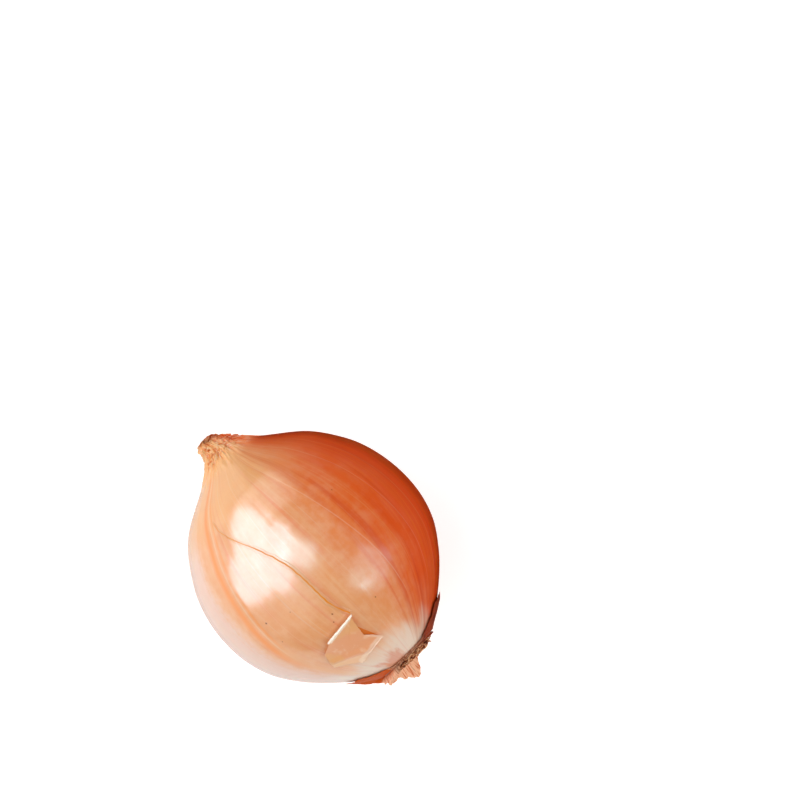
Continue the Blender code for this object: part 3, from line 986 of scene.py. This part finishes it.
# %% Sheets of dry scale
PAPER = 0.00015


def thickened(piece):
    """Gives the sheet its thickness, away from the bulb."""
    outward = sum(face.normal.dot((face.center - AXIS) * Vector((0, 1, 1))) for face in piece.data.polygons)
    paper = piece.modifiers.new("paper", "SOLIDIFY")
    paper.thickness = PAPER
    paper.offset = 1.0 if outward > 0 else -1.0


# %% [markdown]
# ## The torn collar
#
# When an onion is pulled, the outermost scale tears off round the roots. What is left is a ragged
# collar. Two long lobes still hug the bulb, and on one side it has folded out as a stiff tail. Its rim
# is a short table: at each angle its reach, how far it stands away from the bulb, and its lift.

# %% Collar sheet
COLLAR_RIM = (
    (0, 0.3, 0.0, 0.0),
    (30, 0.5, 0.0, 0.05),
    (45, 3.8, 0.0, 0.05),
    (55, 7.2, 0.0, 0.05),
    (64, 10.8, 0.0, 0.10),
    (76, 12.6, 0.0, 0.15),
    (92, 13.0, 0.0, 0.20),
    (106, 6.5, 0.2, 0.8),
    (118, 3.8, 0.9, 0.6),
    (130, 5.0, 1.0, 0.0),
    (143, 5.4, 1.0, 0.0),
    (156, 8.6, 1.0, 0.0),
    (168, 11.2, 1.0, 0.0),
    (176, 9.6, 1.0, 0.0),
    (186, 4.4, 1.0, 0.0),
    (198, 4.0, 0.6, 0.5),
    (214, 6.5, 0.2, 0.6),
    (232, 8.0, 0.0, 0.5),
    (250, 9.0, 0.0, 0.4),
    (270, 13.5, 0.0, 0.4),
    (284, 14.5, 0.0, 0.4),
    (296, 12.5, 0.0, 0.4),
    (306, 8.5, 0.0, 0.35),
    (318, 4.0, 0.0, 0.3),
    (328, 1.4, 0.0, 0.1),
    (340, 0.4, 0.0, 0.0),
)
COLLAR_SIDES = 420
COLLAR_RINGS = 22
COLLAR_START = 0.0018
COLLAR_GAP = 0.0003
COLLAR_CURL = 1.5
COLLAR_TEETH = ((7, 0.10, 1.1), (17, 0.07, 2.9), (31, 0.06, 0.4), (73, 0.035, 2.2), (149, 0.02, 0.9))
TAIL_FLARE = math.radians(17)
TAIL_RIPPLES = 9
TAIL_RIPPLE = 0.0009
TAIL_FULL_RIPPLE = 4
TAIL_WRINKLE = 2
WRINKLE, WRINKLES = 0.00022, 34
WRINKLE_STRETCH = 1.5


def torn_at(rim, angle):
    """(reach, how far it stands away, lift) of that torn scale at that angle."""
    degrees = math.degrees(angle) % 360
    for start, end in zip(rim, rim[1:] + ((360, *rim[0][1:]),)):
        if start[0] <= degrees <= end[0]:
            reach, away, lift = between(start[1:], end[1:], ease(degrees, start[0], end[0]))
            break
    teeth = sum(size * abs(math.sin(count * angle / 2 + phase)) for count, size, phase in COLLAR_TEETH)
    return reach * MM * (1 - teeth), away, lift * MM


def torn_point(rim, base_at, angle, share):
    """(along, radius) on the torn scale at that angle, from its base at share 0 to its torn edge at 1."""
    reach, away, lift = torn_at(rim, angle)
    base, base_normal = outline_point(base_at)
    hug, normal = outline_point(base_at + reach * share)
    turns = WRINKLES / math.tau
    spot = Vector((share * WRINKLE_STRETCH, turns * math.sin(angle), turns * math.cos(angle)))
    wrinkle = WRINKLE * share * noise.noise(spot)
    hug += normal * (COLLAR_GAP + wrinkle + lift * share**COLLAR_CURL)
    flare = Vector((-math.cos(TAIL_FLARE), math.sin(TAIL_FLARE)))
    ripple = TAIL_RIPPLE * share * (1 + math.sin(TAIL_RIPPLES * angle))
    ripple = ripple * min(1.0, reach / MM / TAIL_FULL_RIPPLE) + TAIL_WRINKLE * wrinkle
    tail = base + base_normal * COLLAR_GAP + flare * reach * share + Vector((0.0, ripple))
    return hug.lerp(tail, away)


def torn_shape(rim, base_at):
    """A torn scale round the roots, as a grid bent into a ring."""
    shape = bmesh.new()
    bmesh.ops.create_grid(shape, x_segments=COLLAR_SIDES, y_segments=COLLAR_RINGS, size=1.0)
    spot = shape.verts.layers.float_vector.new(SPOT_ATTRIBUTE)
    for vertex in shape.verts:
        angle, share = math.pi * (vertex.co.x + 1), (vertex.co.y + 1) / 2
        along, radius = torn_point(rim, base_at, angle, share)
        vertex.co = around(along, radius * (1 + waves(along, angle) + dents(along, angle)), angle)
        vertex[spot] = (along / BULB_RADIUS, math.sin(angle), math.cos(angle))
    bmesh.ops.remove_doubles(shape, verts=shape.verts, dist=SAME_PLACE)
    bmesh.ops.recalc_face_normals(shape, faces=shape.faces)
    return shape


# %% [markdown]
# The lobe on the side away from the window has almost turned to bark, and it is painted darker there,
# partly its own colour and partly painted shade. The opposite one is rusty, and the tail below is pale
# and pink with brown veins. Those are masks on how far a spot lies to one side, softened with noise. A
# thin brown edge shows where the roots come through.

# %% Finish of the collar
BARK_AND_SHADE = screen_colour(150, 54, 16)
RUST = screen_colour(200, 82, 12)
TAIL_PINK = screen_colour(250, 188, 148)
TAIL_VEIN = screen_colour(214, 116, 74)
BLACKENED_AND_SHADE = screen_colour(92, 36, 12)
ROOT_EDGE = screen_colour(142, 88, 58)


def collar_finish():
    """Dry torn scale: bark with painted shade, rust and pale veined paper."""
    material, tree, shader = new_finish("torn dry scale", Specular_IOR_Level=0.1)
    spot = own_attribute(tree, SPOT_ATTRIBUTE)
    along, side, up = numbers_of(spot)
    veins = noisy(vector_of(along * 8.0, side * 22.0, up * 22.0), 1.0, 3.0)
    blotches = noisy(vector_of(along * 14.0, side * 7.0, up * 7.0), 1.0, 3.0)
    uneven_side = side + blotches * 0.2
    rusty = rise(uneven_side, 0.62, 0.80) * rise(along, -1.12, -1.07)
    # Partly painted shade: bark brown and black blotches on the side away from the window.
    dark = rise(uneven_side, -0.10, -0.55)
    at_roots = rise(along + blotches * 0.02, -1.005, -1.025) * rise(up, 0.74, 0.90)
    layers = [
        (rusty, RUST),
        (dark, BARK_AND_SHADE),
        (dark * rise(blotches * 0.5 + veins * 0.5, 0.46, 0.62) * 0.85, BLACKENED_AND_SHADE),
        (rise(veins, 0.42, 0.30) * 0.35, BLACKENED_AND_SHADE),
        (at_roots * (0.6 + rise(veins, 0.40, 0.60) * 0.4), ROOT_EDGE),
    ]
    colour = layered(mixed(rise(veins, 0.52, 0.66), TAIL_PINK, TAIL_VEIN), layers)
    feed(shader, Base_Color=colour, Roughness=0.45 + veins * 0.25, Normal=raised(tree, veins, DEEP_BUMP))
    return material


collar_shape = torn_shape(COLLAR_RIM, COLLAR_START)
torn_scale = collar_finish()
thickened(finished("torn_collar", collar_shape, torn_scale, "skin_collar"))

# %% [markdown]
# The scale below tore off shorter. Its ragged edge stands up round the roots like a low fence, and it
# hides one end of the root mat. It comes from the same function with a rim table of its own, in which
# every row stands straight out from the bulb.

# %% Fringe of the inner scale
FRINGE_HIGH = ((0, 0.3), (20, 0.5), (34, 2.6), (60, 3.0), (90, 2.2))
FRINGE_LOW = ((115, 1.6), (200, 1.4), (250, 0.9), (285, 0.3))
FRINGE_RIM = tuple((degrees, reach, 1.0, 0.0) for degrees, reach in FRINGE_HIGH + FRINGE_LOW)
FRINGE_START = 0.0009
fringe_shape = torn_shape(FRINGE_RIM, FRINGE_START)
thickened(finished("inner_scale_fringe", fringe_shape, torn_scale))

# %% [markdown]
# ## The lifted flap
#
# A piece of the outermost scale has torn free and lifted at its edges, with one sharp fold across it.
# Its outline is a few corners on the bulb. A corner's row holds its place along, its angle in degrees,
# how many millimetres it is lifted, how far its edge rolls back, and how many cells lead to the next
# one. Spokes run from the middle to that outline, the sheet rises along them, and at the edge it rolls
# back, so that its pale inner face shows as a bright line, which is partly a painted highlight.

# %% Flap sheet
FLAP_CORNERS = (
    (-0.492, 5.6, 1.1, 1.0, 5),
    (-0.530, 24.4, 1.12, 1.0, 1),
    (-0.538, 25.6, 1.1, 0.0, 2),
    (-0.585, 34.0, 0.7, 0.0, 3),
    (-0.722, 42.8, 0.2, 0.0, 4),
    (-0.824, 31.1, 0.4, 0.0, 1),
    (-0.830, 30.0, 0.4, 0.40, 5),
    (-0.785, 3.0, 0.7, 0.45, 2),
    (-0.690, 9.8, 0.3, 0.0, 3),
    (-0.500, 6.2, 1.0, 0.0, 1),
)
FLAP_MIDDLE = (-0.675, 21.0)
FLAP_FINER = 6
FLAP_RINGS = 28
FLAP_FLAT = 0.78
FLAP_GAP = 0.0003
FLAP_CURL = 2.2
FLAP_JAG, JAG_ALONG, JAG_ROUND = 0.00018, 90, 0.9
ROLL_RADIUS = 0.00060
ROLL_TURN = math.radians(165)
ROLL_OUTWARD_FROM = 0.95
CREASE_FROM, CREASE_TO = (-0.670, 39.0), (-0.812, 14.0)
CREASE_HEIGHT, CREASE_WIDTH = 0.00060, 0.0014
CREASE_RUNS_OUT = 0.15
CREASE_BLEND = -0.0002, 0.0004
RADIUS_UNDER_FLAP = 0.7
INNER_FROM, INNER_TO = 0.15, 0.07
INNER_ATTRIBUTE = "inner_face"
CREASE_ATTRIBUTE = "beyond_the_fold"


def flap_outline():
    """The torn outline as (along, angle, lift, roll) points, in metres and radians."""
    outline = []
    for corner, after in zip(FLAP_CORNERS, FLAP_CORNERS[1:] + FLAP_CORNERS[:1]):
        cells = corner[4] * FLAP_FINER
        for cell in range(cells):
            along, degrees, lift, roll = between(corner[:4], after[:4], cell / cells)
            ragged = FLAP_JAG * noise.noise_vector(Vector((along * JAG_ALONG, degrees * JAG_ROUND, 0.5)))
            angle = math.radians(degrees) + ragged.y / BULB_RADIUS
            outline.append((along * BULB_RADIUS + ragged.x, angle, lift * MM, roll))
    return outline


def from_crease(along, angle):
    """(distance from the fold across the flap, how far the place is beyond it), in metres."""
    start, end, place = (
        Vector((x, turned * RADIUS_UNDER_FLAP * BULB_RADIUS))
        for x, turned in (
            (CREASE_FROM[0] * BULB_RADIUS, math.radians(CREASE_FROM[1])),
            (CREASE_TO[0] * BULB_RADIUS, math.radians(CREASE_TO[1])),
            (along, angle),
        )
    )
    run = end - start
    share = min(1.0, max(0.0, (place - start).dot(run) / run.length_squared))
    return (place - start - run * share).length, (place - start).cross(run) / run.length


def crease_height(along, angle):
    """How far the fold across the flap stands up there."""
    return CREASE_HEIGHT * max(0.0, 1 - from_crease(along, angle)[0] / CREASE_WIDTH)


def flap_point(middle, corner, share):
    """The point of the sheet at that share of the spoke, with its edge rolled back."""
    flat = min(1.0, share / FLAP_FLAT)
    along, angle = between(middle, corner[:2], flat)
    lift = corner[2] * flat**FLAP_CURL + crease_height(along, angle) * ease(1 - flat, 0.0, CREASE_RUNS_OUT)
    point = above_skin(along, angle, FLAP_GAP + lift)
    if share <= FLAP_FLAT:
        return point
    inwards = above_skin(*between(middle, corner[:2], ROLL_OUTWARD_FROM), FLAP_GAP + lift)
    out = (point - inwards).normalized()
    up = (above_skin(along, angle, FLAP_GAP + lift + MM) - point).normalized()
    turn = ROLL_TURN * corner[3] * (share - FLAP_FLAT) / (1 - FLAP_FLAT)
    return point + (out * math.sin(turn) + up * (1 - math.cos(turn))) * ROLL_RADIUS


def flap_shape():
    """The torn flap, as a grid whose columns are spokes from its middle."""
    outline = flap_outline()
    middle = FLAP_MIDDLE[0] * BULB_RADIUS, math.radians(FLAP_MIDDLE[1])
    shape = bmesh.new()
    bmesh.ops.create_grid(shape, x_segments=len(outline), y_segments=FLAP_RINGS, size=1.0)
    inner = shape.verts.layers.float.new(INNER_ATTRIBUTE)
    beyond = shape.verts.layers.float.new(CREASE_ATTRIBUTE)
    for vertex in shape.verts:
        spoke = round(len(outline) * (vertex.co.x + 1) / 2) % len(outline)
        share = (vertex.co.y + 1) / 2
        vertex.co = flap_point(middle, outline[spoke], share)
        vertex[inner] = outline[spoke][3] * ease(share, FLAP_FLAT - INNER_FROM, FLAP_FLAT - INNER_TO)
        beyond_crease = from_crease(*between(middle, outline[spoke][:2], share))[1]
        vertex[beyond] = ease(beyond_crease, *CREASE_BLEND)
    bmesh.ops.remove_doubles(shape, verts=shape.verts, dist=SAME_PLACE)
    bmesh.ops.recalc_face_normals(shape, faces=shape.faces)
    return shape


# %% [markdown]
# The flap has dried paler than the skin below it. Beyond its fold it is painted paler still, as painted
# light on the bent face there, and its rolled edge turns the white inner face up, which is partly a
# painted highlight. Both places are known from the shape, so the mesh stores them as attributes and
# the finish reads them as masks.

# %% Finish of the flap
FLAP_PEACH = screen_colour(232, 156, 108)
FLAP_YELLOW = screen_colour(232, 164, 104)
FLAP_PAINTED_LIGHT = screen_colour(244, 200, 156)
INNER_WHITE_AND_HIGHLIGHT = screen_colour(248, 226, 202)


def flap_finish():
    """Pale paper with faint veins, painted light beyond its fold and a white inner face, partly painted
    highlight.
    """
    material, tree, shader = new_finish(
        "lifted flap",
        Specular_IOR_Level=0.5,
        Coat_Weight=0.4,
        Coat_Roughness=0.25,
    )
    place = own_place(tree)
    drawn = Wire.node(tree, "ShaderNodeMapping", None, {"Vector": place, "Scale": (60.0, 420.0, 420.0)})
    veins = noisy(drawn, 1.0, 3.0)
    clouds = noisy(place, 120.0, 2.0)
    layers = [
        (rise(veins, 0.55, 0.7) * 0.5, PALE_PEACH),
        # Painted light beyond the fold, and an inner face that is partly a painted highlight.
        (own_attribute(tree, CREASE_ATTRIBUTE, "Fac") * 0.6, FLAP_PAINTED_LIGHT),
        (own_attribute(tree, INNER_ATTRIBUTE, "Fac"), INNER_WHITE_AND_HIGHLIGHT),
    ]
    colour = layered(mixed(rise(clouds, 0.4, 0.65), FLAP_PEACH, FLAP_YELLOW), layers)
    feed(shader, Base_Color=colour, Roughness=0.38 + veins * 0.2, Normal=raised(tree, veins, FINE_BUMP))
    return material


thickened(finished("lifted_flap", flap_shape(), flap_finish(), "skin_flap"))

# %% [markdown]
# ## The roots
#
# A corky plate closes the dish of the root end, and hundreds of dry roots lie curled on it. A root is a
# tube along a wandering line, so all of them are splines of one curve with a round bevel. Each spline
# draws its own turns from a seeded generator, so the mat is the same in every run.

# %% Root plate and mat
PLATE = [(0.0, 0.0), (0.0, 0.0054), (-0.0005, 0.0068), (-0.0010, 0.0070)]
PLATE_CROWN = [(-0.0015, 0.0060), (-0.0017, 0.0040), (-0.0015, 0.0020), (-0.0014, 0.0)]
PLATE_GAP = 0.00035
PLATE_STEPS = 6
PLATE_SIDES = 96
CORK, CORK_SIZE = 0.00030, 900.0
ROOT_COUNT = 230
ROOT_POINTS = 11
ROOT_THICKNESS = 0.00056
ROOT_SUNK = 0.0005
ROOT_SEED = 11
ROOT_LENGTH = 0.0060, 0.0130
ROOT_DRIFT = 1.3
ROOT_BEND, ROOT_WANDER = (0.35, 1.00), 0.25
ROOT_DEPTHS, ROOT_SPREADS = (0.4, 1.0), (0.82, 1.02)
ROOT_WIDTHS, ROOT_TAPER = (0.6, 1.25), 0.6
ROOT_RISE = 0.8
CROWN_RADIUS = 0.0064
MAT_RADIUS = 0.0104
MAT_DENT_AT_TAIL = 0.0008
MAT_NEAR, MAT_FAR = 0.0001, 0.0021
DISH_RADIUS = 0.0076
MAT_OVER_RIM = 0.0004
RIM_RADIUS, RIM_SLOPE = 0.0096, 0.43


def root_path(rng, face):
    """The points of one dry root: it leaves the plate, turns over and lies curled in the mat."""
    angle = rng.uniform(-math.pi, math.pi)
    drift = angle + rng.uniform(-ROOT_DRIFT, ROOT_DRIFT)
    bend = rng.choice((-1, 1)) * rng.uniform(*ROOT_BEND)
    step = rng.uniform(*ROOT_LENGTH) / (ROOT_POINTS - 2)
    radius = CROWN_RADIUS * math.sqrt(rng.random())
    far, outermost = rng.uniform(*ROOT_DEPTHS) * MAT_FAR, rng.uniform(*ROOT_SPREADS) * MAT_RADIUS
    path = [around(face + ROOT_SUNK, radius, angle), around(face - rng.uniform(MAT_NEAR, far), radius, angle)]
    while len(path) < ROOT_POINTS:
        place = path[-1] + around(rng.uniform(-ROOT_RISE, ROOT_RISE) * step, step, drift)
        drift += bend + rng.uniform(-ROOT_WANDER, ROOT_WANDER)
        angle = math.atan2(place.y, place.z)
        limit = outermost - MAT_DENT_AT_TAIL * torn_at(COLLAR_RIM, angle)[1]
        radius = min(math.hypot(place.y, place.z), limit)
        near = MAT_NEAR if radius < DISH_RADIUS else MAT_OVER_RIM - RIM_SLOPE * max(0.0, radius - RIM_RADIUS)
        along = min(max(place.x, face - far), face - near)
        path.append(around(along, radius, angle))
    return path


def roots_curve(face):
    """All the roots as one curve of many splines."""
    curve = bpy.data.curves.new("roots", "CURVE")
    curve.dimensions = "3D"
    curve.bevel_depth = ROOT_THICKNESS / 2
    curve.bevel_resolution = 1
    curve.use_fill_caps = True
    rng = random.Random(ROOT_SEED)
    for _ in range(ROOT_COUNT):
        path = root_path(rng, face)
        width = rng.uniform(*ROOT_WIDTHS)
        spline = curve.splines.new("POLY")
        spline.points.add(len(path) - 1)
        for index, (point, place) in enumerate(zip(spline.points, path)):
            point.co = (*place, 1.0)
            point.radius = width * (1 - ROOT_TAPER * index / len(path))
    return curve


def root_shape():
    """The corky plate and its mat of roots in one shape."""
    seat = ROOT_END[0][0] * BULB_RADIUS - PLATE_GAP
    outline = smooth_through([(seat + along, radius) for along, radius in PLATE + PLATE_CROWN], PLATE_STEPS)
    shape = spun(outline, PLATE_SIDES)
    for vertex in shape.verts:
        vertex.co.x += CORK * noise.noise(vertex.co * CORK_SIZE) * ease(seat - vertex.co.x, 0.0, MM)
    tubes = bpy.data.objects.new("root tubes", roots_curve(seat + PLATE_CROWN[-1][0]))
    bpy.context.scene.collection.objects.link(tubes)
    graph = bpy.context.evaluated_depsgraph_get()
    shape.from_mesh(bpy.data.meshes.new_from_object(tubes.evaluated_get(graph)))
    bpy.data.objects.remove(tubes)
    bmesh.ops.remove_doubles(shape, verts=shape.verts, dist=SAME_PLACE)
    return shape


# %% [markdown]
# Dead roots are matte, and the ends that dried in the sun are tan. Small patches of noise in the piece's
# own space give neighbouring roots dark, brown and tan tones. The dark ones are partly the roots' own
# colour and partly painted shade for the gaps deep in the mat.

# %% Finish of the roots
ROOT_DARK_AND_SHADE = screen_colour(112, 54, 30)
ROOT_BROWN = screen_colour(196, 116, 68)
ROOT_TAN = screen_colour(246, 196, 148)


def root_finish():
    """Dead dry fibre, dark with tan ends; the dark is partly painted shade."""
    material, tree, shader = new_finish("dry roots", Specular_IOR_Level=0.3)
    place = own_place(tree)
    patches = noisy(place, 620.0, 2.0)
    fibre = noisy(place, 2600.0, 2.0)
    # The dark patches are partly painted shade of the gaps in the mat.
    colour = mixed(rise(patches, 0.36, 0.52), ROOT_DARK_AND_SHADE, ROOT_BROWN)
    colour = mixed(rise(patches * 0.7 + fibre * 0.3, 0.48, 0.59), colour, ROOT_TAN)
    feed(shader, Base_Color=colour, Roughness=0.7 + fibre * 0.3, Normal=raised(tree, fibre, DEEP_BUMP))
    return material


finished("root_mat", root_shape(), root_finish(), "root_plate")
